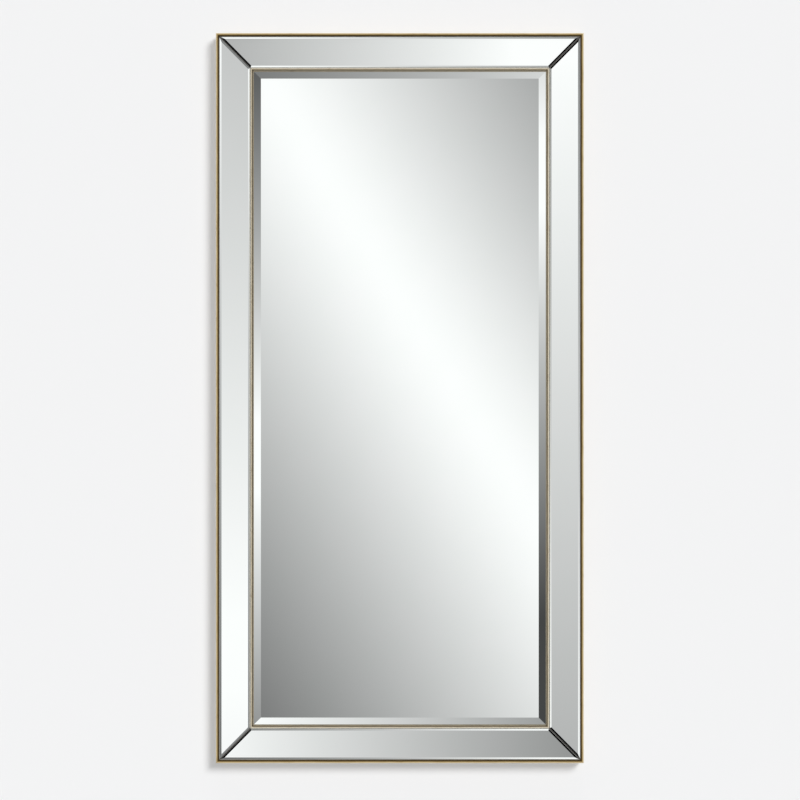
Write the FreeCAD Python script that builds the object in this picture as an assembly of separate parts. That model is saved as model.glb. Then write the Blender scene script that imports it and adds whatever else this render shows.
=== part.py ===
import FreeCAD, Part
import math
import os

# A wall mirror: a bevelled centre plate in a frame of four sloping mirror strips,
# edged outside and inside with a gilt bead. Millimetres, +Z up, the front faces -Y,
# and the wall is the plane y = 0. The origin lies midway between the two points
# where the upper rings hang on the wall's hooks.

# Driving sizes
OVERALL_WIDTH = 762.0
OVERALL_HEIGHT = 1512.0
OUTER_BEAD_WIDTH = 6.4
STRIP_BED_WIDTH = 64.6
INNER_BEAD_WIDTH = 5.0
STRIP_RISE = 9.7
HANGER_DROP = 330.0
SIDE_HANGER_INSET = 190.0

# Centre plate and what backs it
PLATE_THICKNESS = 5.0
PLATE_BEVEL = 20.0
PLATE_EDGE = 2.0
PLATE_OVERLAP = 3.4
FOAM_THICKNESS = 1.0
FOAM_MARGIN = 8.0
BOARD_THICKNESS = 3.0
BOARD_RECESS = 0.4
BOARD_SHELF = 12.0
BLOCK_LENGTH = 40.0
BLOCK_SPREAD_SHARE = 0.3

# Mirror strips
STRIP_GLASS = 3.0
STRIP_EDGE = 0.8
STRIP_SEAM = 0.6
STRIP_BEVEL = 3.8
TAPE_THICKNESS = 0.8
TAPE_WIDTH = 16.0
TAPE_INSET = 7.0

# Rails and beads
LIP_THICKNESS = 3.0
LIP_STEP = 1.5
OUTER_BEAD_PROUD = 2.9
OUTER_SIDE_INSET = 1.0
OUTER_BACK_CHAMFER = 1.5
INNER_BEAD_HEIGHT = 3.8
INNER_BEAD_LEG = 2.0
BISCUIT_LENGTH = 47.0
BISCUIT_WIDTH = 15.0
BISCUIT_THICKNESS = 4.0
BISCUIT_DEPTH = 4.5

# Corner braces
BRACE_ARM = 70.0
BRACE_WIDTH = 14.0
BRACE_THICKNESS = 1.6
BRACE_ROUND = 2.5
BRACE_FIRST_HOLE = 24.0
BRACE_LAST_HOLE = 60.0

# Hangers
STRAP_WIDTH = 16.0
STRAP_THICKNESS = 1.2
STRAP_TAIL = 40.0
STRAP_ROUND = 3.0
STRAP_SHOULDER_DEG = 35.0
STRAP_FIRST_HOLE = 14.5
STRAP_LAST_HOLE = 32.0
RING_WIRE = 3.2
RING_INNER_WIDTH = 24.0
RING_CORNER = 4.0
RING_ARM = 4.0

# Bumpers
BUMPER_HEIGHT = 8.0
BUMPER_RADIUS = 9.0
BUMPER_FACE_RADIUS = 7.5
BUMPER_CHAMFER = 0.8
BUMPER_FROM_CORNER = 140.0

# Screws
SCREW_SHANK = 1.7
SCREW_TIP = 3.0
PAN_HEAD_RADIUS = 3.5
PAN_HEAD_HEIGHT = 1.8
PAN_HEAD_ROUND = 0.9
SUNK_HEAD_RADIUS = 3.2
SUNK_HEAD_HEIGHT = 1.4
RECESS_SPAN = 3.4
RECESS_WIDTH = 0.9
RECESS_DEPTH = 0.9
BRACE_SCREW_LENGTH = 13.0
HANGER_SCREW_LENGTH = 13.5
BOARD_SCREW_LENGTH = 7.5
BOARD_SCREW_PITCH = 215.0

# Clearances
STRIP_CLEARANCE = 0.4
MITRE_GAP = 0.8
PLATE_CLEARANCE = 1.0
PLATE_LIP_GAP = 0.3
BOARD_CLEARANCE = 0.5
BISCUIT_CLEARANCE = 0.3
SCREW_CLEARANCE = 0.1
RING_CLEARANCE = 0.05
RING_REST_GAP = 0.3
OVERRUN = 5.0

# Heights in front of the wall, from the back of the frame to its front
FRAME_WIDTH = OUTER_BEAD_WIDTH + STRIP_BED_WIDTH + INNER_BEAD_WIDTH
STRIP_TILT = math.atan2(STRIP_RISE, STRIP_BED_WIDTH)
STRIP_STACK = TAPE_THICKNESS + STRIP_GLASS
BACK_H = BUMPER_HEIGHT
BOARD_REAR_H = BACK_H + BOARD_RECESS
BOARD_FRONT_H = BOARD_REAR_H + BOARD_THICKNESS
PLATE_REAR_H = BOARD_FRONT_H + FOAM_THICKNESS
PLATE_EDGE_H = PLATE_REAR_H + PLATE_EDGE
PLATE_FRONT_H = PLATE_REAR_H + PLATE_THICKNESS
BEVEL_DROP = PLATE_THICKNESS - PLATE_EDGE
LIP_UNDER_H = PLATE_EDGE_H + BEVEL_DROP * PLATE_OVERLAP / PLATE_BEVEL + PLATE_LIP_GAP
LIP_TOP_H = LIP_UNDER_H + LIP_THICKNESS
BED_INNER_H = LIP_TOP_H - LIP_STEP
BED_OUTER_H = BED_INNER_H + STRIP_RISE
INNER_CREST_H = LIP_TOP_H + INNER_BEAD_HEIGHT
OUTER_CREST_H = BED_OUTER_H + STRIP_STACK / math.cos(STRIP_TILT) + OUTER_BEAD_PROUD

# Distances in from the outer edge
BED_INNER_U = OUTER_BEAD_WIDTH + STRIP_BED_WIDTH
LIP_END_U = FRAME_WIDTH - INNER_BEAD_LEG
PLATE_EDGE_U = FRAME_WIDTH - PLATE_OVERLAP
RABBET_U = PLATE_EDGE_U - PLATE_CLEARANCE
SHELF_U = RABBET_U - BOARD_SHELF
RAIL_BACK_U = (OUTER_BEAD_WIDTH + SHELF_U) / 2

# Rings: the bar's height, the ring's reach from it and how far it leans at rest
BORE_RADIUS = RING_WIRE / 2 + RING_CLEARANCE
BAR_H = BACK_H - STRAP_THICKNESS - BORE_RADIUS
STRAP_TOP_H = BACK_H - 2 * STRAP_THICKNESS
RING_HALF_WIDTH = (RING_INNER_WIDTH + RING_WIRE) / 2
RING_REACH = RING_CORNER + RING_ARM + RING_HALF_WIDTH
RING_SEAT = RING_REACH - RING_WIRE / 2
RING_LEAN_DEG = math.degrees(math.asin((BACK_H - BAR_H - RING_WIRE / 2 - RING_REST_GAP) / RING_REACH))
BAR_BELOW_ORIGIN = RING_SEAT * math.cos(math.radians(RING_LEAN_DEG))

# The outer edges in the part's own frame
TOP_Z = HANGER_DROP - BAR_BELOW_ORIGIN
BOTTOM_Z = TOP_Z - OVERALL_HEIGHT
CENTRE_Z = (TOP_Z + BOTTOM_Z) / 2
HALF_WIDTH = OVERALL_WIDTH / 2

# Each side is made as the bottom one, running along X, and turned about Y
SIDES = {
    "bottom": (0, (0, BOTTOM_Z), OVERALL_WIDTH),
    "right": (-90, (HALF_WIDTH, CENTRE_Z), OVERALL_HEIGHT),
    "top": (180, (0, TOP_Z), OVERALL_WIDTH),
    "left": (90, (-HALF_WIDTH, CENTRE_Z), OVERALL_HEIGHT),
}

# Each corner is made as the bottom left one and turned about Y
CORNERS = {
    "bottom_left": (0, (-HALF_WIDTH, BOTTOM_Z)),
    "bottom_right": (-90, (HALF_WIDTH, BOTTOM_Z)),
    "top_right": (180, (HALF_WIDTH, TOP_Z)),
    "top_left": (90, (-HALF_WIDTH, TOP_Z)),
}

# Where each ring's bar lies: upright pair on the long rails, sideways pair on the short ones
HANGERS = {
    "left": (0, (RAIL_BACK_U - HALF_WIDTH, TOP_Z - HANGER_DROP)),
    "right": (0, (HALF_WIDTH - RAIL_BACK_U, TOP_Z - HANGER_DROP)),
    "top": (90, (HALF_WIDTH - SIDE_HANGER_INSET, TOP_Z - RAIL_BACK_U)),
    "bottom": (90, (HALF_WIDTH - SIDE_HANGER_INSET, BOTTOM_Z + RAIL_BACK_U)),
}


def vec(x, y, z):
    return FreeCAD.Vector(x, y, z)


def turned(shape, degrees, place):
    """Turn a copy about the Y axis, then move it in the wall's plane."""
    copy = shape.copy()
    copy.rotate(vec(0, 0, 0), vec(0, 1, 0), degrees)
    copy.translate(vec(place[0], 0, place[1]))
    return copy


def line(start, end):
    return Part.LineSegment(start, end).toShape()


def polyline(points):
    """The closed run of straight edges through the points."""
    ends = points[1:] + points[:1]
    return Part.Wire([line(a, b) for a, b in zip(points, ends)])


def prism_through(outline):
    """A solid standing on an outline of (x, z) points, through the frame's whole depth."""
    depth = OUTER_CREST_H + 2 * OVERRUN
    face = Part.Face(polyline([vec(x, OVERRUN, z) for x, z in outline]))
    return face.extrude(vec(0, -depth, 0))


def mitred(section, run):
    """Extrude a section of the bottom side along its run and cut both ends at 45 degrees."""
    bar = section.extrude(vec(run, 0, 0))
    bar.translate(vec(-run / 2, 0, 0))
    base = run / 2 + OVERRUN
    reach = FRAME_WIDTH + OVERRUN
    outline = [(-base, -OVERRUN), (base, -OVERRUN), (run / 2 - reach, reach), (reach - run / 2, reach)]
    return bar.common(prism_through(outline))


def section_point(u, h):
    """A point of a side's section: u in from the outer edge, h in front of the wall."""
    return vec(0, -h, u)


def outer_bead_section():
    radius = OUTER_BEAD_WIDTH / 2
    centre_h = OUTER_CREST_H - radius
    turn = math.asin((radius - OUTER_SIDE_INSET) / radius)
    inner_back = section_point(OUTER_BEAD_WIDTH, BACK_H)
    inner_spring = section_point(OUTER_BEAD_WIDTH, centre_h)
    crest = section_point(radius, OUTER_CREST_H)
    outer_return = section_point(OUTER_SIDE_INSET, centre_h - radius * math.cos(turn))
    side_end = section_point(OUTER_SIDE_INSET, BACK_H + OUTER_BACK_CHAMFER)
    chamfer_end = section_point(OUTER_SIDE_INSET + OUTER_BACK_CHAMFER, BACK_H)
    edges = [
        line(inner_back, inner_spring),
        Part.Arc(inner_spring, crest, outer_return).toShape(),
        line(outer_return, side_end),
        line(side_end, chamfer_end),
        line(chamfer_end, inner_back),
    ]
    return Part.Face(Part.Wire(edges))


def inner_bead_section():
    radius = INNER_BEAD_WIDTH / 2
    spring_h = INNER_CREST_H - radius
    leg_foot = section_point(FRAME_WIDTH, LIP_UNDER_H)
    sight_spring = section_point(FRAME_WIDTH, spring_h)
    crest = section_point(FRAME_WIDTH - radius, INNER_CREST_H)
    strip_spring = section_point(BED_INNER_U, spring_h)
    strip_foot = section_point(BED_INNER_U, LIP_TOP_H)
    lip_corner = section_point(LIP_END_U, LIP_TOP_H)
    lip_foot = section_point(LIP_END_U, LIP_UNDER_H)
    edges = [
        line(leg_foot, sight_spring),
        Part.Arc(sight_spring, crest, strip_spring).toShape(),
        line(strip_spring, strip_foot),
        line(strip_foot, lip_corner),
        line(lip_corner, lip_foot),
        line(lip_foot, leg_foot),
    ]
    return Part.Face(Part.Wire(edges))


def rail_section():
    corners = [
        (OUTER_BEAD_WIDTH, BACK_H),
        (OUTER_BEAD_WIDTH, BED_OUTER_H),
        (BED_INNER_U, BED_INNER_H),
        (BED_INNER_U, LIP_TOP_H),
        (LIP_END_U, LIP_TOP_H),
        (LIP_END_U, LIP_UNDER_H),
        (RABBET_U, LIP_UNDER_H),
        (RABBET_U, BOARD_FRONT_H),
        (SHELF_U, BOARD_FRONT_H),
        (SHELF_U, BACK_H),
    ]
    return Part.Face(polyline([section_point(u, h) for u, h in corners]))


def on_bed(shape):
    """Lay a piece made on a level bed onto the sloping bed of the bottom rail."""
    copy = shape.copy()
    copy.rotate(vec(0, 0, 0), vec(1, 0, 0), -math.degrees(STRIP_TILT))
    copy.translate(vec(0, -BED_OUTER_H, OUTER_BEAD_WIDTH))
    return copy


def strip_outline(run, inset, rise):
    """A strip's trapezoid on the level bed, drawn in by inset and lifted by rise."""
    cosine = math.cos(STRIP_TILT)
    sine = math.sin(STRIP_TILT)
    near = STRIP_CLEARANCE + inset
    far = (STRIP_BED_WIDTH - STRIP_CLEARANCE - STRIP_STACK * sine) / cosine - inset
    end_inset = MITRE_GAP / math.sqrt(2) + inset * math.sqrt(1 + cosine ** 2)
    reach = run / 2 - OUTER_BEAD_WIDTH - STRIP_STACK * sine - end_inset
    near_half = reach - near * cosine
    far_half = reach - far * cosine
    corners = [(-near_half, near), (near_half, near), (far_half, far), (-far_half, far)]
    return polyline([vec(s, -rise, v) for s, v in corners])


def mirror_strip(run):
    """A strip of mirror: a square edge, a narrow ground seam, then the polished bevel."""
    edge_top = TAPE_THICKNESS + STRIP_EDGE
    levels = [
        strip_outline(run, 0, TAPE_THICKNESS),
        strip_outline(run, 0, edge_top),
        strip_outline(run, STRIP_SEAM, edge_top + STRIP_SEAM),
        strip_outline(run, STRIP_SEAM + STRIP_BEVEL, STRIP_STACK),
    ]
    return on_bed(Part.makeLoft(levels, True, True))


def strip_tape(run):
    """Two ribbons of tape between a strip and its bed."""
    length = run - 2 * FRAME_WIDTH
    far = STRIP_BED_WIDTH - TAPE_INSET - TAPE_WIDTH
    ribbons = []
    for near in (TAPE_INSET, far):
        corner = vec(-length / 2, -TAPE_THICKNESS, near)
        ribbons.append(on_bed(Part.makeBox(length, TAPE_THICKNESS, TAPE_WIDTH, corner)))
    return Part.makeCompound(ribbons)


def centred_rectangle(u, h):
    """The rectangle that lies u in from the outer edges, h in front of the wall."""
    x = HALF_WIDTH - u
    z = OVERALL_HEIGHT / 2 - u
    corners = [(-x, -z), (x, -z), (x, z), (-x, z)]
    return polyline([vec(a, -h, CENTRE_Z + b) for a, b in corners])


def sheet(u, rear_h, thickness):
    """A flat sheet whose edges lie u in from the outer edges."""
    return Part.Face(centred_rectangle(u, rear_h)).extrude(vec(0, -thickness, 0))


def centre_mirror():
    levels = [
        centred_rectangle(PLATE_EDGE_U, PLATE_REAR_H),
        centred_rectangle(PLATE_EDGE_U, PLATE_EDGE_H),
        centred_rectangle(PLATE_EDGE_U + PLATE_BEVEL, PLATE_FRONT_H),
    ]
    return Part.makeLoft(levels, True, True)


def setting_blocks():
    """Two blocks a side in the rabbet, between the rail and the plate's edge."""
    blocks = []
    for degrees, place, run in SIDES.values():
        for share in (-BLOCK_SPREAD_SHARE, BLOCK_SPREAD_SHARE):
            middle = share * run
            corner = vec(middle - BLOCK_LENGTH / 2, -PLATE_EDGE_H, RABBET_U)
            block = Part.makeBox(BLOCK_LENGTH, PLATE_EDGE, PLATE_CLEARANCE, corner)
            blocks.append(turned(block, degrees, place))
    return Part.makeCompound(blocks)


def biscuit(grow):
    """The bottom left corner's biscuit, grown all round by a clearance to make its slot."""
    half_length = BISCUIT_LENGTH / 2 + grow
    half_width = BISCUIT_WIDTH / 2 + grow
    rear_h = BACK_H + BISCUIT_DEPTH - grow
    ends = (vec(-half_length, 0, 0), vec(half_length, 0, 0))
    upper = Part.Arc(ends[0], vec(0, 0, half_width), ends[1]).toShape()
    lower = Part.Arc(ends[1], vec(0, 0, -half_width), ends[0]).toShape()
    lens = Part.Face(Part.Wire([upper, lower])).extrude(vec(0, -(BISCUIT_THICKNESS + 2 * grow), 0))
    lens.rotate(vec(0, 0, 0), vec(0, 1, 0), -45)
    lens.translate(vec(RAIL_BACK_U, -rear_h, RAIL_BACK_U))
    return lens


def cross_recess():
    """The cross slot of a screw's head, cut down from the plane y = 0."""
    bar = Part.makeBox(RECESS_SPAN, RECESS_DEPTH, RECESS_WIDTH)
    bar.translate(vec(-RECESS_SPAN / 2, -RECESS_DEPTH, -RECESS_WIDTH / 2))
    other = bar.copy()
    other.rotate(vec(0, 0, 0), vec(0, 1, 0), 90)
    return bar.fuse(other)


def screw_shank(length):
    """A shank that points into the frame from the plane y = 0 and ends in a tip."""
    straight = length - SCREW_TIP
    shank = Part.makeCylinder(SCREW_SHANK, straight, vec(0, 0, 0), vec(0, -1, 0))
    tip = Part.makeCone(SCREW_SHANK, 0, SCREW_TIP, vec(0, -straight, 0), vec(0, -1, 0))
    return shank.fuse(tip)


def pan_screw(length):
    """A pan head screw whose head stands on the plane y = 0."""
    head = Part.makeCylinder(PAN_HEAD_RADIUS, PAN_HEAD_HEIGHT, vec(0, 0, 0), vec(0, 1, 0))
    rim = [edge for edge in head.Edges if edge.BoundBox.YMin > PAN_HEAD_HEIGHT / 2]
    head = head.makeFillet(PAN_HEAD_ROUND, rim)
    recess = cross_recess()
    recess.translate(vec(0, PAN_HEAD_HEIGHT, 0))
    return head.cut(recess).fuse(screw_shank(length)).removeSplitter()


def sunk_screw(length):
    """A countersunk screw whose head is flush with the plane y = 0."""
    head = Part.makeCone(SUNK_HEAD_RADIUS, SCREW_SHANK, SUNK_HEAD_HEIGHT, vec(0, 0, 0), vec(0, -1, 0))
    body = head.fuse(screw_shank(length))
    return body.cut(cross_recess()).removeSplitter()


def screw_hole(x, z, rear_h, length):
    """The hole for a screw that enters at rear_h, a little wider and deeper than it."""
    depth = length + SCREW_CLEARANCE
    return Part.makeCylinder(SCREW_SHANK + SCREW_CLEARANCE, depth, vec(x, -rear_h, z), vec(0, -1, 0))


def brace_screw_places():
    """Screw places of the bottom left brace, as distances from the outer corner."""
    middle = RAIL_BACK_U
    start = RAIL_BACK_U - BRACE_WIDTH / 2
    far = [start + BRACE_FIRST_HOLE, start + BRACE_LAST_HOLE]
    return [(u, middle) for u in far] + [(middle, u) for u in far]


def corner_brace():
    """The flat L of the bottom left corner, with countersunk holes."""
    near = RAIL_BACK_U - BRACE_WIDTH / 2
    inner = near + BRACE_WIDTH
    end = near + BRACE_ARM
    outline = [(near, near), (end, near), (end, inner), (inner, inner), (inner, end), (near, end)]
    face = Part.Face(polyline([vec(x, -BACK_H, z) for x, z in outline]))
    brace = face.extrude(vec(0, BRACE_THICKNESS, 0))
    upright = [edge for edge in brace.Edges if edge.BoundBox.YLength > BRACE_THICKNESS / 2]
    brace = brace.makeFillet(BRACE_ROUND, upright)
    top_h = BACK_H - BRACE_THICKNESS
    for x, z in brace_screw_places():
        hole = screw_hole(x, z, top_h, BRACE_SCREW_LENGTH)
        wide = SUNK_HEAD_RADIUS + SCREW_CLEARANCE
        narrow = SCREW_SHANK + SCREW_CLEARANCE
        sink = Part.makeCone(wide, narrow, SUNK_HEAD_HEIGHT, vec(x, -top_h, z), vec(0, -1, 0))
        brace = brace.cut(hole.fuse(sink))
    return brace


def brace_screws():
    """The screws of one corner's brace."""
    screws = []
    for x, z in brace_screw_places():
        screw = sunk_screw(BRACE_SCREW_LENGTH)
        screw.translate(vec(x, BRACE_THICKNESS - BACK_H, z))
        screws.append(screw)
    return Part.makeCompound(screws)


def board_screw_places():
    """Even places along all four sides of the board, over the rails' shelf."""
    u = SHELF_U + BOARD_SHELF / 2
    places = []
    for degrees, place, run in SIDES.values():
        span = run - 2 * u
        count = int(span / BOARD_SCREW_PITCH)
        step = span / count
        first = (step - span) / 2
        for number in range(count):
            point = Part.Vertex(first + number * step, 0, u)
            places.append(turned(point, degrees, place).Point)
    return [(point.x, point.z) for point in places]


def backing_board():
    board = sheet(SHELF_U + BOARD_CLEARANCE, BOARD_REAR_H, BOARD_THICKNESS)
    holes = [screw_hole(x, z, BOARD_REAR_H - OVERRUN, 2 * OVERRUN) for x, z in board_screw_places()]
    return board.cut(Part.makeCompound(holes))


def board_screws():
    screws = []
    for x, z in board_screw_places():
        screw = pan_screw(BOARD_SCREW_LENGTH)
        screw.translate(vec(x, -BOARD_REAR_H, z))
        screws.append(screw)
    return Part.makeCompound(screws)


def bar_point(z, h):
    """A point of the strap's side outline: z above the bar's axis, h in front of the wall."""
    return vec(-STRAP_WIDTH / 2, -h, z)


def hanger_strap():
    """A strip of steel folded round the ring's bar, with its two layers screwed to the rail."""
    radius = BACK_H - BAR_H
    shoulder = math.radians(STRAP_SHOULDER_DEG)
    leave_z = -radius * math.sin(shoulder)
    leave_h = BAR_H - radius * math.cos(shoulder)
    landing_z = leave_z - (STRAP_TOP_H - leave_h) / math.tan(shoulder)
    foot = bar_point(-STRAP_TAIL, BACK_H)
    under = bar_point(0, BACK_H)
    front = bar_point(radius, BAR_H)
    leave = bar_point(leave_z, leave_h)
    landing = bar_point(landing_z, STRAP_TOP_H)
    tail = bar_point(-STRAP_TAIL, STRAP_TOP_H)
    edges = [
        line(foot, under),
        Part.Arc(under, front, leave).toShape(),
        line(leave, landing),
        line(landing, tail),
        line(tail, foot),
    ]
    strap = Part.Face(Part.Wire(edges)).extrude(vec(STRAP_WIDTH, 0, 0))
    ends = [edge for edge in strap.Edges if is_tail_corner(edge)]
    strap = strap.makeFillet(STRAP_ROUND, ends)
    bore = Part.makeCylinder(BORE_RADIUS, STRAP_WIDTH, vec(-STRAP_WIDTH / 2, -BAR_H, 0), vec(1, 0, 0))
    holes = [bore]
    for drop in (STRAP_FIRST_HOLE, STRAP_LAST_HOLE):
        holes.append(screw_hole(0, -drop, STRAP_TOP_H, HANGER_SCREW_LENGTH))
    return strap.cut(Part.makeCompound(holes))


def is_tail_corner(edge):
    """True for the two short upright edges at the strap's tail."""
    box = edge.BoundBox
    return box.ZMax < STRAP_THICKNESS - STRAP_TAIL and box.XLength < STRAP_THICKNESS


def hanger_screws():
    """The two screws of one strap."""
    screws = []
    for drop in (STRAP_FIRST_HOLE, STRAP_LAST_HOLE):
        screw = pan_screw(HANGER_SCREW_LENGTH)
        screw.translate(vec(0, -STRAP_TOP_H, -drop))
        screws.append(screw)
    return Part.makeCompound(screws)


def ring_path():
    """The middle line of the ring's wire, from the middle of its bar round to it again."""
    half = RING_HALF_WIDTH
    corner = RING_CORNER
    soft = corner * (1 - math.sqrt(0.5))
    bar_end = half - corner
    spring = corner + RING_ARM
    return [
        line(vec(0, 0, 0), vec(bar_end, 0, 0)),
        Part.Arc(vec(bar_end, 0, 0), vec(half - soft, 0, soft), vec(half, 0, corner)).toShape(),
        line(vec(half, 0, corner), vec(half, 0, spring)),
        Part.Arc(vec(half, 0, spring), vec(0, 0, RING_REACH), vec(-half, 0, spring)).toShape(),
        line(vec(-half, 0, spring), vec(-half, 0, corner)),
        Part.Arc(vec(-half, 0, corner), vec(soft - half, 0, soft), vec(-bar_end, 0, 0)).toShape(),
        line(vec(-bar_end, 0, 0), vec(0, 0, 0)),
    ]


def hanger_ring():
    """The D-shaped ring, leaning onto the rail as it rests."""
    circle = Part.Circle(vec(0, 0, 0), vec(1, 0, 0), RING_WIRE / 2).toShape()
    ring = Part.Wire(ring_path()).makePipeShell([Part.Wire(circle)], True, True)
    ring.rotate(vec(0, 0, 0), vec(1, 0, 0), RING_LEAN_DEG)
    ring.translate(vec(0, -BAR_H, 0))
    return ring


def bumper_places():
    x = HALF_WIDTH - RAIL_BACK_U
    low = BOTTOM_Z + BUMPER_FROM_CORNER
    high = TOP_Z - BUMPER_FROM_CORNER
    return {
        "bottom_left": (-x, low),
        "bottom_right": (x, low),
        "top_left": (-x, high),
        "top_right": (x, high),
    }


def bumper():
    """A tapered rubber foot that stands on the wall plane, y = 0."""
    foot = Part.makeCone(BUMPER_FACE_RADIUS, BUMPER_RADIUS, BUMPER_HEIGHT, vec(0, 0, 0), vec(0, -1, 0))
    rim = [edge for edge in foot.Edges if edge.BoundBox.YMin > -BUMPER_CHAMFER]
    return foot.makeChamfer(BUMPER_CHAMFER, rim)


def rail_cuts():
    """Everything that is cut into the rails: biscuit slots and screw holes."""
    cuts = [turned(biscuit(BISCUIT_CLEARANCE), degrees, place) for degrees, place in CORNERS.values()]
    for degrees, place in CORNERS.values():
        for x, z in brace_screw_places():
            hole = screw_hole(x, z, BACK_H - BRACE_THICKNESS, BRACE_SCREW_LENGTH)
            cuts.append(turned(hole, degrees, place))
    for degrees, place in HANGERS.values():
        for drop in (STRAP_FIRST_HOLE, STRAP_LAST_HOLE):
            hole = screw_hole(0, -drop, STRAP_TOP_H, HANGER_SCREW_LENGTH)
            cuts.append(turned(hole, degrees, place))
    for x, z in board_screw_places():
        cuts.append(screw_hole(x, z, BOARD_REAR_H, BOARD_SCREW_LENGTH))
    return Part.makeCompound(cuts)


def side_nodes():
    """The pieces that repeat on each of the four sides."""
    nodes = {}
    cuts = rail_cuts()
    for side, (degrees, place, run) in SIDES.items():
        rail = turned(mitred(rail_section(), run), degrees, place)
        nodes["frame_rail_" + side] = rail.cut(cuts)
        nodes["outer_bead_" + side] = turned(mitred(outer_bead_section(), run), degrees, place)
        nodes["inner_bead_" + side] = turned(mitred(inner_bead_section(), run), degrees, place)
        nodes["mirror_strip_" + side] = turned(mirror_strip(run), degrees, place)
        nodes["strip_tape_" + side] = turned(strip_tape(run), degrees, place)
    return nodes


def corner_nodes():
    """The biscuit and the brace of each corner, and all the braces' screws."""
    nodes = {}
    screws = []
    for corner, (degrees, place) in CORNERS.items():
        nodes["mitre_biscuit_" + corner] = turned(biscuit(0), degrees, place)
        nodes["corner_brace_" + corner] = turned(corner_brace(), degrees, place)
        screws.extend(turned(brace_screws(), degrees, place).Solids)
    nodes["brace_screws"] = Part.makeCompound(screws)
    return nodes


def hanger_nodes():
    """The strap and the ring of each hanger, and all the straps' screws."""
    nodes = {}
    screws = []
    for name, (degrees, place) in HANGERS.items():
        nodes["hanger_strap_" + name] = turned(hanger_strap(), degrees, place)
        nodes["hanger_ring_" + name] = turned(hanger_ring(), degrees, place)
        screws.extend(turned(hanger_screws(), degrees, place).Solids)
    nodes["hanger_screws"] = Part.makeCompound(screws)
    return nodes


def plate_nodes():
    """The centre plate and everything behind it."""
    return {
        "centre_mirror": centre_mirror(),
        "foam_sheet": sheet(PLATE_EDGE_U + FOAM_MARGIN, BOARD_FRONT_H, FOAM_THICKNESS),
        "setting_blocks": setting_blocks(),
        "backing_board": backing_board(),
        "backing_screws": board_screws(),
    }


def bumper_nodes():
    return {"bumper_" + name: turned(bumper(), 0, place) for name, place in bumper_places().items()}


def main():
    os.makedirs("parts", exist_ok=True)
    nodes = {}
    for group in (side_nodes(), plate_nodes(), corner_nodes(), hanger_nodes(), bumper_nodes()):
        nodes.update(group)
    for name, shape in nodes.items():
        shape.exportStep("parts/" + name + ".step")


main()
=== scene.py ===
import math

import bpy
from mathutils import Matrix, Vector


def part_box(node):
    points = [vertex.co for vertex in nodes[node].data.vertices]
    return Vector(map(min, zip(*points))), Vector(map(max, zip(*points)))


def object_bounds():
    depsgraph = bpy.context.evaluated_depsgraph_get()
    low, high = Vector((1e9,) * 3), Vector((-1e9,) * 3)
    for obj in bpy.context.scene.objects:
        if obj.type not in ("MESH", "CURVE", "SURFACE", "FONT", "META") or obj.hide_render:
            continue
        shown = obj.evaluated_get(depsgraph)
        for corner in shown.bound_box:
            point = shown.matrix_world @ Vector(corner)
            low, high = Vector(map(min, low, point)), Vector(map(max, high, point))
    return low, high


# A wall mirror in a frame of sloping mirror strips edged with gilt beads, hung on a
# pale wall. The CAD solids keep their shapes; this script gives them materials, and
# sets up the wall, the floor, the lamps, the light cards in the world and the camera.
# Lengths are in metres, but the camera's sensor and lens are in millimetres.

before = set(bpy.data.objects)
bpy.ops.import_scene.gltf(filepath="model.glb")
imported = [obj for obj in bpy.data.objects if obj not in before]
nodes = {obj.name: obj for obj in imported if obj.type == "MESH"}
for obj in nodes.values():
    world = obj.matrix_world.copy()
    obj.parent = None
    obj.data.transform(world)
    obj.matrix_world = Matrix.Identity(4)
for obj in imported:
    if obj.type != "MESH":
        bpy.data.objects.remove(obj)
cad_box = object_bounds()

# The object's place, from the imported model
LOW, HIGH = cad_box
HALF_WIDTH = (HIGH.x - LOW.x) / 2
HALF_HEIGHT = (HIGH.z - LOW.z) / 2
CENTRE_Z = (HIGH.z + LOW.z) / 2

# Camera: it looks straight along +Y at a picture of 800 x 800 pixels
PICTURE_PX = 800
OBJECT_HEIGHT_PX = 730.5
CENTRE_PX = (399.8, 398.1)
CAMERA_DISTANCE = 4.8
CAMERA_SIGHT = 100.0
SENSOR_MM = 36.0

# Wall and floor
WALL_GAP = 0.0005
WALL_HOLE_INSET = 0.025
FLOOR_DROP = 0.35
ROOM_SIDE = 9.0
ROOM_DEPTH = 9.0
ROOM_HEIGHT = 6.0
WALL_COLOUR = (0.872, 0.875, 0.88)
FLOOR_COLOUR = (0.60, 0.60, 0.597)
BACKDROP_LIGHT = 0.913

# Lamps: where each comes from, its strength and its spread in degrees
LAMPS = {
    "key": ((0.63, -1.0, 0.63), 1.96, 23.0),
    "fill": ((0.0, -1.0, 0.0), 1.41, 10.0),
    "ceiling": ((0.0, -0.05, 1.0), 1.0, 10.0),
    "behind": ((-0.35, 1.0, 0.55), 2.0, 30.0),
}
AMBIENT = 0.10

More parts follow.
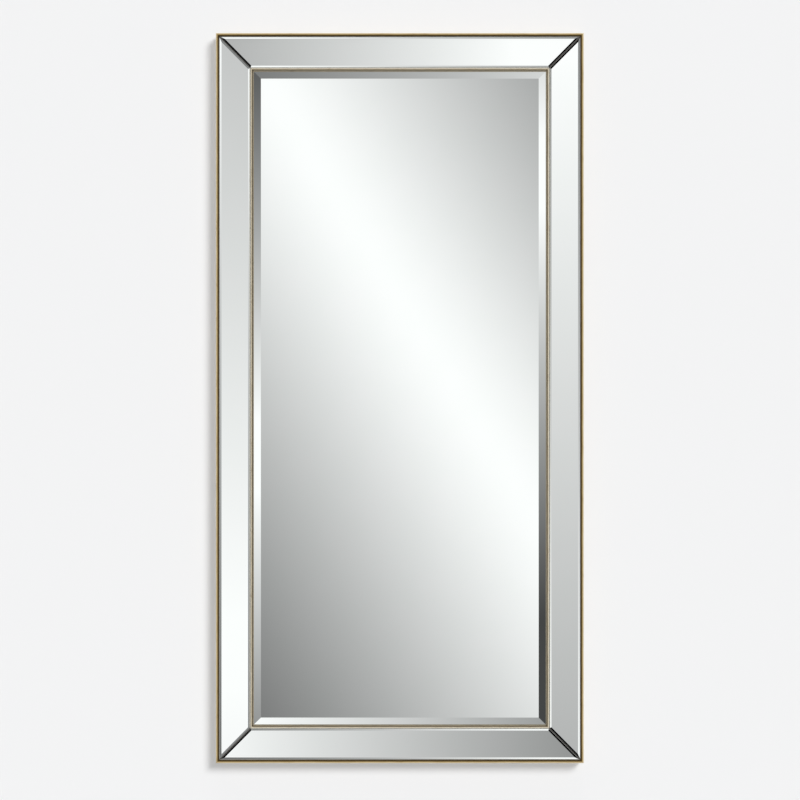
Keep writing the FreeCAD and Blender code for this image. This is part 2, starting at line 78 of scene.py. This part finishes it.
# Light cards in front of the mirror. A direction is told by (p, q): how far it goes
# right and up for one unit ahead. Tones are shares of display white. A card lies across
# one of the two at a place with a half width and a soft edge; along the other its tone
# falls away from a peak at a steady rate, and it ends at its reach. A row holds its
# centre, half width, soft edge, reach, peak and fall.
DISPLAY_POWER = 2.2
MIRROR_SHARE = 0.965
TOP_TONE = 0.996
LEAST_TONE = 0.28
CARD_FLAT = 0.016
CARD_END_SOFT = 0.012
LEAST_AHEAD = 0.02
SIDE_CARDS = {
    "strip_left": (0.231, 0.080, 0.02, 0.19, -0.112, 0.89),
    "strip_right": (-0.231, 0.080, 0.02, 0.19, 0.167, 0.96),
    "plate_left": (-0.405, 0.080, 0.02, 0.20, -0.026, 3.90),
    "plate_right": (0.405, 0.080, 0.02, 0.20, 0.104, 3.80),
    "outer_edge_left": (-0.641, 0.120, 0.04, 0.21, 0.200, 1.53),
    "outer_edge_right": (0.641, 0.120, 0.04, 0.21, -0.210, 1.25),
    "inner_edge_left": (1.644, 0.350, 0.08, 0.34, 0.310, 0.945),
    "inner_edge_right": (-1.644, 0.350, 0.08, 0.34, -0.310, 0.77),
}
LEVEL_CARDS = {
    "strip_top": (-0.200, 0.0575, 0.003, 0.13, 0.0650, 2.40),
    "strip_bottom": (0.200, 0.0575, 0.003, 0.13, -0.1035, 2.57),
    "plate_top": (0.498, 0.080, 0.02, 0.13, 0.150, 2.53),
    "plate_bottom": (-0.498, 0.080, 0.02, 0.13, -0.086, 2.74),
    "outer_edge_top": (0.755, 0.100, 0.03, 0.13, -0.090, 2.26),
    "outer_edge_bottom": (-0.755, 0.100, 0.03, 0.13, 0.095, 3.20),
    "inner_edge_top": (-1.391, 0.250, 0.06, 0.15, -0.110, 1.65),
    "inner_edge_bottom": (1.391, 0.250, 0.06, 0.15, 0.110, 2.35),
}

# The middle card: a bright diagonal ridge where q + RIDGE_SLANT * p is RIDGE_PLACE. Its
# top is round for about RIDGE_ROUND, and further off its tone falls steadily.
RIDGE_SLANT = 1.619
RIDGE_PLACE = 0.0438
RIDGE_ROUND = 0.043
RIDGE_FALL = 2.125
MIDDLE_HALF_P = 0.12
MIDDLE_HALF_Q = 0.30
MIDDLE_SOFT = 0.03

# Dark flags that the mitred ends of the strips reflect
FLAG_TONE = 0.03
FLAG_LIGHT_TONE = 0.50
FLAG_P = (0.84, 1.44)
FLAG_Q_UP = (0.80, 1.48)
FLAG_Q_DOWN = (-1.48, -0.93)
FLAG_LIGHT_FROM_P = 1.12
FLAG_SOFT = 0.02

# The rest of the studio, as the metal and the side views see it
STUDIO_TONE = 0.82
STUDIO_SWING = 0.15
STUDIO_WAVES = 6.0
STUDIO_SLANT = 1.2
STUDIO_PHASE = 1.4

# Noise patterns: waves a metre, detail and roughness
GLASS_HAZE = (14.0, 4.0, 0.5)
LEAF_PATCHES = (38.0, 5.0, 0.6)
LEAF_GRAIN = (900.0, 3.0, 0.65)
LEAF_RIPPLE = (260.0, 2.0, 0.5)
WOOD_GRAIN = (140.0, 6.0, 0.6)
WOOD_PORES = (900.0, 2.0, 0.5)
BOARD_MOTTLE = (85.0, 7.0, 0.75)
BOARD_FIBRE = (1100.0, 3.0, 0.7)
PLATING_CLOUD = (120.0, 4.0, 0.5)
PLATING_GRAIN = (1600.0, 2.0, 0.5)
RUBBER_GRAIN = (500.0, 3.0, 0.6)
BLOCK_GRAIN = (400.0, 3.0, 0.6)
FOAM_GRAIN = (900.0, 3.0, 0.6)

# Noise keeps near its middle. A finish runs over one of these spans of it.
NOISE_MIDDLE = 0.5
WIDE_SPAN = (0.30, 0.70)
BOARD_SPAN = (0.34, 0.66)
MID_SPAN = (0.35, 0.65)
WOOD_SPAN = (0.36, 0.64)

# How closely a pattern's waves lie along X, Y and Z, against its waves a metre. Grain
# runs along the axis with the smallest number.
EVEN = (1.0, 1.0, 1.0)
GRAIN_UP = (1.0, 1.0, 0.06)
GRAIN_LEVEL = (0.06, 1.0, 1.0)
BISCUIT_GRAIN = (1.0, 1.0, 0.3)
BISCUIT_SCALE = 1.5

# Plain finishes: a darker colour, a lighter one, and the least and most roughness
STAINED_WOOD = ((0.030, 0.022, 0.017), (0.085, 0.062, 0.046), (0.45, 0.60))
BEECH = ((0.42, 0.29, 0.17), (0.62, 0.47, 0.30), (0.45, 0.60))
HARDBOARD = ((0.245, 0.150, 0.084), (0.365, 0.240, 0.142), (0.50, 0.72))
ZINC = ((0.62, 0.63, 0.64), (0.74, 0.75, 0.75), (0.28, 0.44))
NICKEL = ((0.70, 0.68, 0.63), (0.80, 0.78, 0.74), (0.16, 0.28))
YELLOW_ZINC = ((0.60, 0.52, 0.30), (0.74, 0.68, 0.46), (0.26, 0.40))
BLACK_RUBBER = ((0.020, 0.020, 0.021), (0.045, 0.045, 0.046), (0.55, 0.75))
BLOCK_RUBBER = ((0.05, 0.05, 0.05), (0.09, 0.09, 0.09), (0.6, 0.8))
FOAM = ((0.78, 0.78, 0.76), (0.88, 0.88, 0.86), (0.8, 0.95))
FOAM_TAPE = ((0.70, 0.70, 0.68), (0.80, 0.80, 0.78), (0.7, 0.9))

# Bumps: how deep they are and how strongly they show
LEAF_BUMP = (0.00025, 0.35)
WOOD_BUMP = (0.0002, 0.4)
BOARD_BUMP = (0.00015, 0.45)
PLATING_BUMP = (0.00005, 0.25)
RUBBER_BUMP = (0.0001, 0.4)
FOAM_BUMP = (0.0002, 0.4)

# The share of the first pattern where two are laid over each other
LEAF_GRAIN_SHARE = 0.6
WOOD_GRAIN_SHARE = 0.75
BOARD_MOTTLE_SHARE = 0.5
PLATING_CLOUD_SHARE = 0.5

# Silvered glass. How far a face looks backwards tells the ground seams and the painted
# back. Seams that lean both sideways and up or down lie at the mitres, and are coloured
# darker there as painted shade in the narrow joints.
SEAM_FACING = (-0.84, -0.82)
BACK_FACING = (0.45, 0.55)
MITRE_SLANT = (0.10, 0.14)
SILVER_COLOURS = ((0.945, 0.972, 0.960), (0.952, 0.975, 0.966))
SEAM_COLOUR = (0.84, 0.87, 0.86)
# Painted shade: a darker colour for the ground seams at the mitres, in place of shade in the joints
MITRE_PAINTED_SHADE_COLOUR = (0.36, 0.37, 0.36)
BACK_PAINT_COLOUR = (0.30, 0.31, 0.32)
GLASS_ROUGHNESS = (0.008, 0.020)
SEAM_METAL = 0.25
SEAM_ROUGHNESS = 0.5

# Gilding across each bead, from its outer edge (0) to its inner one (1), with painted light
# in it: a pale painted highlight at the outer side, painted shade with some dark glaze in
# the dark band near the inner side, and a little painted highlight at the inner edge.
OUTER_LEAF_AND_PAINTED_LIGHT = [
    (0.00, (0.84, 0.75, 0.56)),
    (0.25, (0.74, 0.60, 0.35)),
    (0.48, (0.56, 0.41, 0.18)),
    (0.64, (0.26, 0.17, 0.06)),
    (0.76, (0.070, 0.042, 0.012)),
    (0.96, (0.070, 0.042, 0.012)),
    (1.00, (0.30, 0.24, 0.15)),
]
INNER_LEAF_AND_PAINTED_LIGHT = [
    (0.00, (0.97, 0.91, 0.79)),
    (0.40, (0.88, 0.79, 0.61)),
    (0.58, (0.54, 0.44, 0.29)),
    (0.74, (0.090, 0.070, 0.038)),
    (0.88, (0.110, 0.088, 0.052)),
    (1.00, (0.45, 0.39, 0.29)),
]

# How far the patterns move the gilding's places, as shares of a bead's width
PATCH_SHIFT_SHARE = 0.16
GRAIN_SHIFT_SHARE = 0.10

# How far behind a bead's crest the plainer gilding of its flanks sets in
GILT_FRONT_DEPTH = 0.0035
GILT_FLANK_DEPTH = 0.0075
FLANK_COLOURS = ((0.46, 0.33, 0.155), (0.66, 0.51, 0.28))

# Worn patches, and the gilding's metal and gloss
WORN_COLOUR = (0.30, 0.21, 0.10)
WORN_SPAN = (0.60, 0.78)
WORN_MOST_SHARE = 0.35
LEAF_METAL = 0.85
LEAF_ROUGHNESS = (0.34, 0.50)


class Field:
    """A number in a node tree; arithmetic on it adds Math nodes."""

    def __init__(self, tree, socket):
        self.tree = tree
        self.socket = socket

    def put(self, node, index, value):
        if isinstance(value, Field):
            self.tree.links.new(value.socket, node.inputs[index])
        else:
            node.inputs[index].default_value = value

    def math(self, operation, *others):
        node = self.tree.nodes.new("ShaderNodeMath")
        node.operation = operation
        for index, value in enumerate((self, *others)):
            self.put(node, index, value)
        return Field(self.tree, node.outputs[0])

    def __add__(self, other):
        return self.math("ADD", other)

    def __sub__(self, other):
        return self.math("SUBTRACT", other)

    def __mul__(self, other):
        return self.math("MULTIPLY", other)

    def __truediv__(self, other):
        return self.math("DIVIDE", other)

    def size(self):
        return self.math("ABSOLUTE")

    def at_least(self, low):
        return self.math("MAXIMUM", low)

    def at_most(self, high):
        return self.math("MINIMUM", high)

    def mapped(self, low, high, to_low=0.0, to_high=1.0, smooth=True):
        """Low to high becomes to_low to to_high, held level outside."""
        node = self.tree.nodes.new("ShaderNodeMapRange")
        node.interpolation_type = "SMOOTHSTEP" if smooth else "LINEAR"
        for index, value in enumerate((self, low, high, to_low, to_high)):
            self.put(node, index, value)
        return Field(self.tree, node.outputs[0])

    def window(self, centre, half, soft):
        """One within half of the centre, nought beyond it, with a soft edge."""
        return (self - centre).size().mapped(half - soft, half + soft, 1.0, 0.0)

    def between(self, low, high, soft):
        return self.window((low + high) / 2, (high - low) / 2, soft)

    def blended(self, other, share):
        """This number, turned into the other one by a share."""
        node = self.tree.nodes.new("ShaderNodeMix")
        self.put(node, 0, share)
        self.put(node, 2, self)
        self.put(node, 3, other)
        return Field(self.tree, node.outputs[0])


def coordinates(tree, output):
    """The three parts of a texture coordinate as numbers."""
    where = tree.nodes.new("ShaderNodeTexCoord")
    parts = tree.nodes.new("ShaderNodeSeparateXYZ")
    tree.links.new(where.outputs[output], parts.inputs[0])
    return [Field(tree, parts.outputs[index]) for index in range(3)]


def tent(run, peak, fall):
    """A tone that falls off steadily on both sides of its peak."""
    away = ((run - peak).size() - CARD_FLAT).at_least(0.0)
    return (away * -fall + TOP_TONE).at_least(LEAST_TONE)


def studio_tone(right, up):
    """The plain studio round the cards, in broad soft waves."""
    wave = ((up + right * STUDIO_SLANT) * STUDIO_WAVES + STUDIO_PHASE).math("SINE")
    return wave * STUDIO_SWING + STUDIO_TONE


def ridge_tone(p, q):
    """The middle card's tone, brightest along its diagonal."""
    off = (q + p * RIDGE_SLANT - RIDGE_PLACE).size()
    return (off * off / (off + RIDGE_ROUND) * -RIDGE_FALL + TOP_TONE).at_least(LEAST_TONE)


def flag_tone(p):
    """The flags' tone: dark, but lighter far to the right."""
    start = FLAG_LIGHT_FROM_P - FLAG_SOFT
    end = FLAG_LIGHT_FROM_P + FLAG_SOFT
    return p.mapped(start, end, FLAG_TONE, FLAG_LIGHT_TONE)


def card_tone(tree):
    """The tone that a reflected ray meets in its direction."""
    right, back, up = coordinates(tree, "Generated")
    ahead = (back * -1.0).at_least(LEAST_AHEAD)
    p = right / ahead
    q = up / ahead
    in_middle = p.window(0.0, MIDDLE_HALF_P, MIDDLE_SOFT) * q.window(0.0, MIDDLE_HALF_Q, MIDDLE_SOFT)
    tone = studio_tone(right, up).blended(ridge_tone(p, q), in_middle)
    for across, run, cards in ((p, q, SIDE_CARDS), (q, p, LEVEL_CARDS)):
        for centre, half, soft, reach, peak, fall in cards.values():
            inside = across.window(centre, half, soft) * run.window(0.0, reach, CARD_END_SOFT)
            tone = tone.blended(tent(run, peak, fall), inside)
    beyond = q.between(*FLAG_Q_UP, FLAG_SOFT) + q.between(*FLAG_Q_DOWN, FLAG_SOFT)
    return tone.blended(flag_tone(p), p.size().between(*FLAG_P, FLAG_SOFT) * beyond)


def make_world():
    """Pale behind the object, cards for reflections, a little even light for the rest."""
    world = bpy.data.worlds.new("studio")
    bpy.context.scene.world = world
    world.use_nodes = True
    tree = world.node_tree
    tree.nodes.clear()
    path = tree.nodes.new("ShaderNodeLightPath")
    seen = Field(tree, path.outputs["Is Camera Ray"])
    # A reflected ray sees the cards only if it has met nothing matt on its way
    glossy = Field(tree, path.outputs["Is Glossy Ray"]) - Field(tree, path.outputs["Diffuse Depth"])
    cards = card_tone(tree).math("POWER", DISPLAY_POWER) / MIRROR_SHARE
    level = glossy.mapped(0.0, 1.0, AMBIENT, cards, smooth=False)
    level = seen.mapped(0.0, 1.0, level, BACKDROP_LIGHT, smooth=False)
    background = tree.nodes.new("ShaderNodeBackground")
    background.inputs["Color"].default_value = (1.0, 1.0, 1.0, 1.0)
    output = tree.nodes.new("ShaderNodeOutputWorld")
    tree.links.new(level.socket, background.inputs["Strength"])
    tree.links.new(background.outputs[0], output.inputs[0])


def make_lamps():
    """Suns that light the object and don't show in the mirrors."""
    for name, (place, strength, spread) in LAMPS.items():
        lamp = bpy.data.lights.new(name, "SUN")
        lamp.energy = strength
        lamp.angle = math.radians(spread)
        holder = bpy.data.objects.new(name, lamp)
        holder.rotation_euler = Vector(place).to_track_quat("Z", "Y").to_euler()
        holder.visible_glossy = False
        bpy.context.scene.collection.objects.link(holder)


def make_camera():
    camera = bpy.data.cameras.new("camera")
    camera.sensor_width = SENSOR_MM
    height = 2 * HALF_HEIGHT
    camera.lens = SENSOR_MM * OBJECT_HEIGHT_PX / PICTURE_PX * CAMERA_DISTANCE / height
    camera.clip_end = CAMERA_SIGHT
    metres_per_px = height / OBJECT_HEIGHT_PX
    middle = PICTURE_PX / 2
    x = (middle - CENTRE_PX[0]) * metres_per_px
    z = CENTRE_Z - (middle - CENTRE_PX[1]) * metres_per_px
    holder = bpy.data.objects.new("camera", camera)
    holder.location = (x, LOW.y - CAMERA_DISTANCE, z)
    holder.rotation_euler = (math.pi / 2, 0.0, 0.0)
    bpy.context.scene.collection.objects.link(holder)
    bpy.context.scene.camera = holder


def stage_mesh(name, points, faces, colour):
    """A matt sheet that shows from its front and is clear from behind."""
    material = bpy.data.materials.new(name)
    material.use_nodes = True
    tree = material.node_tree
    tree.nodes.clear()
    matt = tree.nodes.new("ShaderNodeBsdfDiffuse")
    matt.inputs["Color"].default_value = (*colour, 1.0)
    clear = tree.nodes.new("ShaderNodeBsdfTransparent")
    geometry = tree.nodes.new("ShaderNodeNewGeometry")
    mix = tree.nodes.new("ShaderNodeMixShader")
    output = tree.nodes.new("ShaderNodeOutputMaterial")
    tree.links.new(geometry.outputs["Backfacing"], mix.inputs[0])
    tree.links.new(matt.outputs[0], mix.inputs[1])
    tree.links.new(clear.outputs[0], mix.inputs[2])
    tree.links.new(mix.outputs[0], output.inputs[0])
    mesh = bpy.data.meshes.new(name)
    mesh.from_pydata(points, [], faces)
    mesh.materials.append(material)
    thing = bpy.data.objects.new(name, mesh)
    bpy.context.scene.collection.objects.link(thing)
    return thing


def make_wall():
    """A wall with an opening behind the mirror, so that its back shows from behind."""
    floor_z = LOW.z - FLOOR_DROP
    outer = (-ROOM_SIDE, floor_z, ROOM_SIDE, floor_z + ROOM_HEIGHT)
    inset = WALL_HOLE_INSET
    hole = (LOW.x + inset, LOW.z + inset, HIGH.x - inset, HIGH.z - inset)
    points = []
    for left, bottom, right, top in (outer, hole):
        points += [(left, WALL_GAP, bottom), (right, WALL_GAP, bottom)]
        points += [(right, WALL_GAP, top), (left, WALL_GAP, top)]
    faces = [(0, 1, 5, 4), (1, 2, 6, 5), (2, 3, 7, 6), (3, 0, 4, 7)]
    wall = stage_mesh("wall", points, faces, WALL_COLOUR)
    wall.visible_shadow = False


def make_floor():
    """A floor that takes shadows, but neither lights the object nor shows in its mirrors."""
    z = LOW.z - FLOOR_DROP
    points = [
        (-ROOM_SIDE, -ROOM_DEPTH, z),
        (ROOM_SIDE, -ROOM_DEPTH, z),
        (ROOM_SIDE, ROOM_DEPTH, z),
        (-ROOM_SIDE, ROOM_DEPTH, z),
    ]
    floor = stage_mesh("floor", points, [(0, 1, 2, 3)], FLOOR_COLOUR)
    floor.visible_diffuse = False
    floor.visible_glossy = False
    floor.visible_shadow = False


def new_material(name):
    """A material with one Principled shader; returns it, its tree and the shader."""
    material = bpy.data.materials.new(name)
    material.use_nodes = True
    tree = material.node_tree
    return material, tree, tree.nodes["Principled BSDF"]


def noise(tree, pattern, stretch=EVEN, scale=1.0):
    """A noise pattern in the object's own coordinates, with its waves a metre scaled."""
    waves, detail, roughness = pattern
    where = tree.nodes.new("ShaderNodeTexCoord")
    mapping = tree.nodes.new("ShaderNodeMapping")
    mapping.inputs["Scale"].default_value = stretch
    texture = tree.nodes.new("ShaderNodeTexNoise")
    texture.inputs["Scale"].default_value = waves * scale
    texture.inputs["Detail"].default_value = detail
    texture.inputs["Roughness"].default_value = roughness
    tree.links.new(where.outputs["Object"], mapping.inputs["Vector"])
    tree.links.new(mapping.outputs[0], texture.inputs["Vector"])
    return Field(tree, texture.outputs[0])


def overlaid(first, second, share):
    """Two patterns in one, with this share of the first."""
    return first * share + second * (1 - share)


def colour_blend(tree, share, low, high):
    """A colour between two others; each is a triple or another colour's socket."""
    node = tree.nodes.new("ShaderNodeMix")
    node.data_type = "RGBA"
    tree.links.new(share.socket, node.inputs[0])
    for index, colour in ((6, low), (7, high)):
        if isinstance(colour, tuple):
            node.inputs[index].default_value = (*colour, 1.0)
        else:
            tree.links.new(colour, node.inputs[index])
    return node.outputs[2]


def colour_ramp(tree, share, stops):
    """A colour along a run of (place, colour) stops."""
    node = tree.nodes.new("ShaderNodeValToRGB")
    ramp = node.color_ramp
    while len(ramp.elements) < len(stops):
        ramp.elements.new(1.0)
    for element, (place, colour) in zip(ramp.elements, stops):
        element.position = place
        element.color = (*colour, 1.0)
    tree.links.new(share.socket, node.inputs[0])
    return node.outputs[0]


def add_bump(tree, shader, height, bump):
    depth, strength = bump
    node = tree.nodes.new("ShaderNodeBump")
    node.inputs["Distance"].default_value = depth
    node.inputs["Strength"].default_value = strength
    tree.links.new(height.socket, node.inputs["Height"])
    tree.links.new(node.outputs[0], shader.inputs["Normal"])


def spread_finish(tree, shader, finish, tint, gloss):
    """Spread a finish's colours over one run from 0 to 1, and its roughness over a pattern."""
    dark, light, roughness = finish
    pattern, span = gloss
    tree.links.new(colour_blend(tree, tint, dark, light), shader.inputs["Base Color"])
    tree.links.new(pattern.mapped(*span, *roughness).socket, shader.inputs["Roughness"])


def mirror_material():
    """Silvered glass: clear faces, ground seams, painted shade on those at the mitres, painted back.
    """
    material, tree, shader = new_material("silvered_glass")
    across, face, along = coordinates(tree, "Normal")
    ground = face.mapped(*SEAM_FACING)
    painted = face.mapped(*BACK_FACING)
    # Painted shade: picks out the seams at the mitres, which get a darker colour
    mitre_shade = (across * along).size().mapped(*MITRE_SLANT)
    haze = noise(tree, GLASS_HAZE)
    silver = colour_blend(tree, haze.mapped(*MID_SPAN), *SILVER_COLOURS)
    seam_and_mitre_shade = colour_blend(tree, mitre_shade, SEAM_COLOUR, MITRE_PAINTED_SHADE_COLOUR)
    frosted_with_mitre_shade = colour_blend(tree, ground, silver, seam_and_mitre_shade)
    colour = colour_blend(tree, painted, frosted_with_mitre_shade, BACK_PAINT_COLOUR)
    tree.links.new(colour, shader.inputs["Base Color"])
    metal = ground.mapped(0.0, 1.0, 1.0, SEAM_METAL, smooth=False).blended(0.0, painted)
    tree.links.new(metal.socket, shader.inputs["Metallic"])
    polish = haze.mapped(*WIDE_SPAN, *GLASS_ROUGHNESS)
    tree.links.new(polish.blended(SEAM_ROUGHNESS, ground).socket, shader.inputs["Roughness"])
    return material


def gilt_material(name, bead, stops):
    """Antique gold on a bead: painted highlights outside, painted shade and some glaze inside."""
    material, tree, shader = new_material(name)
    low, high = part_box(bead)
    start = low.x - LOW.x
    width = high.x - low.x
    x, y, z = coordinates(tree, "Object")
    from_side = x.size() * -1.0 + HALF_WIDTH
    from_end = (z - CENTRE_Z).size() * -1.0 + HALF_HEIGHT
    across = (from_side.at_most(from_end) - start) / width
    patches = noise(tree, LEAF_PATCHES)
    grain = noise(tree, LEAF_GRAIN)
    place = across + (patches - NOISE_MIDDLE) * PATCH_SHIFT_SHARE
    place = place + (grain - NOISE_MIDDLE) * GRAIN_SHIFT_SHARE
    # The ramp paints highlights and shade across the bead, partly dark glaze
    gilt_light_and_shade = colour_ramp(tree, place, stops)
    flank = y.mapped(low.y + GILT_FRONT_DEPTH, low.y + GILT_FLANK_DEPTH)
    rubbed = colour_blend(tree, patches.mapped(*MID_SPAN), *FLANK_COLOURS)
    gilt_light_and_shade = colour_blend(tree, flank, gilt_light_and_shade, rubbed)
    worn_with_painted_light = colour_blend(tree, patches.mapped(*WORN_SPAN, 0.0, WORN_MOST_SHARE), gilt_light_and_shade, WORN_COLOUR)
    tree.links.new(worn_with_painted_light, shader.inputs["Base Color"])
    shader.inputs["Metallic"].default_value = LEAF_METAL
    tree.links.new(patches.mapped(*WIDE_SPAN, *LEAF_ROUGHNESS).socket, shader.inputs["Roughness"])
    add_bump(tree, shader, overlaid(grain, noise(tree, LEAF_RIPPLE), LEAF_GRAIN_SHARE), LEAF_BUMP)
    return material


def wood_material(name, finish, stretch, scale=1.0):
    """Wood with grain that runs along the axis with the smallest stretch."""
    material, tree, shader = new_material(name)
    grain = noise(tree, WOOD_GRAIN, stretch, scale)
    pores = noise(tree, WOOD_PORES, stretch, scale)
    both = overlaid(grain, pores, WOOD_GRAIN_SHARE)
    spread_finish(tree, shader, finish, both.mapped(*WOOD_SPAN), (grain, WIDE_SPAN))
    add_bump(tree, shader, both, WOOD_BUMP)
    return material


def board_material():
    """Hardboard: pressed brown fibre, mottled, with a faint sheen."""
    material, tree, shader = new_material("hardboard")
    mottle = noise(tree, BOARD_MOTTLE)
    fibre = noise(tree, BOARD_FIBRE)
    both = overlaid(mottle, fibre, BOARD_MOTTLE_SHARE)
    spread_finish(tree, shader, HARDBOARD, both.mapped(*BOARD_SPAN), (fibre, WIDE_SPAN))
    add_bump(tree, shader, fibre, BOARD_BUMP)
    return material


def steel_material(name, finish):
    """Plated steel: a slightly clouded plate with a fine grain."""
    material, tree, shader = new_material(name)
    cloud = noise(tree, PLATING_CLOUD)
    grain = noise(tree, PLATING_GRAIN)
    both = overlaid(cloud, grain, PLATING_CLOUD_SHARE)
    spread_finish(tree, shader, finish, cloud.mapped(*MID_SPAN), (both, MID_SPAN))
    shader.inputs["Metallic"].default_value = 1.0
    add_bump(tree, shader, grain, PLATING_BUMP)
    return material


def soft_material(name, finish, pattern, bump):
    """Rubber, foam and tape: a fine even grain."""
    material, tree, shader = new_material(name)
    grain = noise(tree, pattern)
    spread_finish(tree, shader, finish, grain.mapped(*MID_SPAN), (grain, WIDE_SPAN))
    add_bump(tree, shader, grain, bump)
    return material


def paint(prefix, material):
    """Give every CAD node whose name starts with the prefix this material."""
    for name, thing in nodes.items():
        if name.startswith(prefix):
            thing.data.materials.clear()
            thing.data.materials.append(material)


def dress_front():
    mirror = mirror_material()
    paint("mirror_strip_", mirror)
    paint("centre_mirror", mirror)
    paint("outer_bead_", gilt_material("outer_leaf", "outer_bead_left", OUTER_LEAF_AND_PAINTED_LIGHT))
    paint("inner_bead_", gilt_material("inner_leaf", "inner_bead_left", INNER_LEAF_AND_PAINTED_LIGHT))


def dress_wood():
    upright = wood_material("stained_upright", STAINED_WOOD, GRAIN_UP)
    level = wood_material("stained_level", STAINED_WOOD, GRAIN_LEVEL)
    for side, material in (("left", upright), ("right", upright), ("top", level), ("bottom", level)):
        paint("frame_rail_" + side, material)
    paint("backing_board", board_material())
    paint("mitre_biscuit_", wood_material("beech", BEECH, BISCUIT_GRAIN, BISCUIT_SCALE))


def dress_fittings():
    paint("corner_brace_", steel_material("zinc_plate", ZINC))
    nickel = steel_material("nickel_plate", NICKEL)
    paint("hanger_strap_", nickel)
    paint("hanger_ring_", nickel)
    yellow = steel_material("yellow_zinc", YELLOW_ZINC)
    for name in ("backing_screws", "brace_screws", "hanger_screws"):
        paint(name, yellow)


def dress_soft_pieces():
    paint("bumper_", soft_material("black_rubber", BLACK_RUBBER, RUBBER_GRAIN, RUBBER_BUMP))
    paint("setting_blocks", soft_material("setting_rubber", BLOCK_RUBBER, BLOCK_GRAIN, RUBBER_BUMP))
    paint("foam_sheet", soft_material("foam", FOAM, FOAM_GRAIN, FOAM_BUMP))
    paint("strip_tape_", soft_material("foam_tape", FOAM_TAPE, FOAM_GRAIN, RUBBER_BUMP))


make_world()
make_lamps()
make_wall()
make_floor()
make_camera()
dress_front()
dress_wood()
dress_fittings()
dress_soft_pieces()

bpy.context.scene.view_settings.view_transform = "Standard"
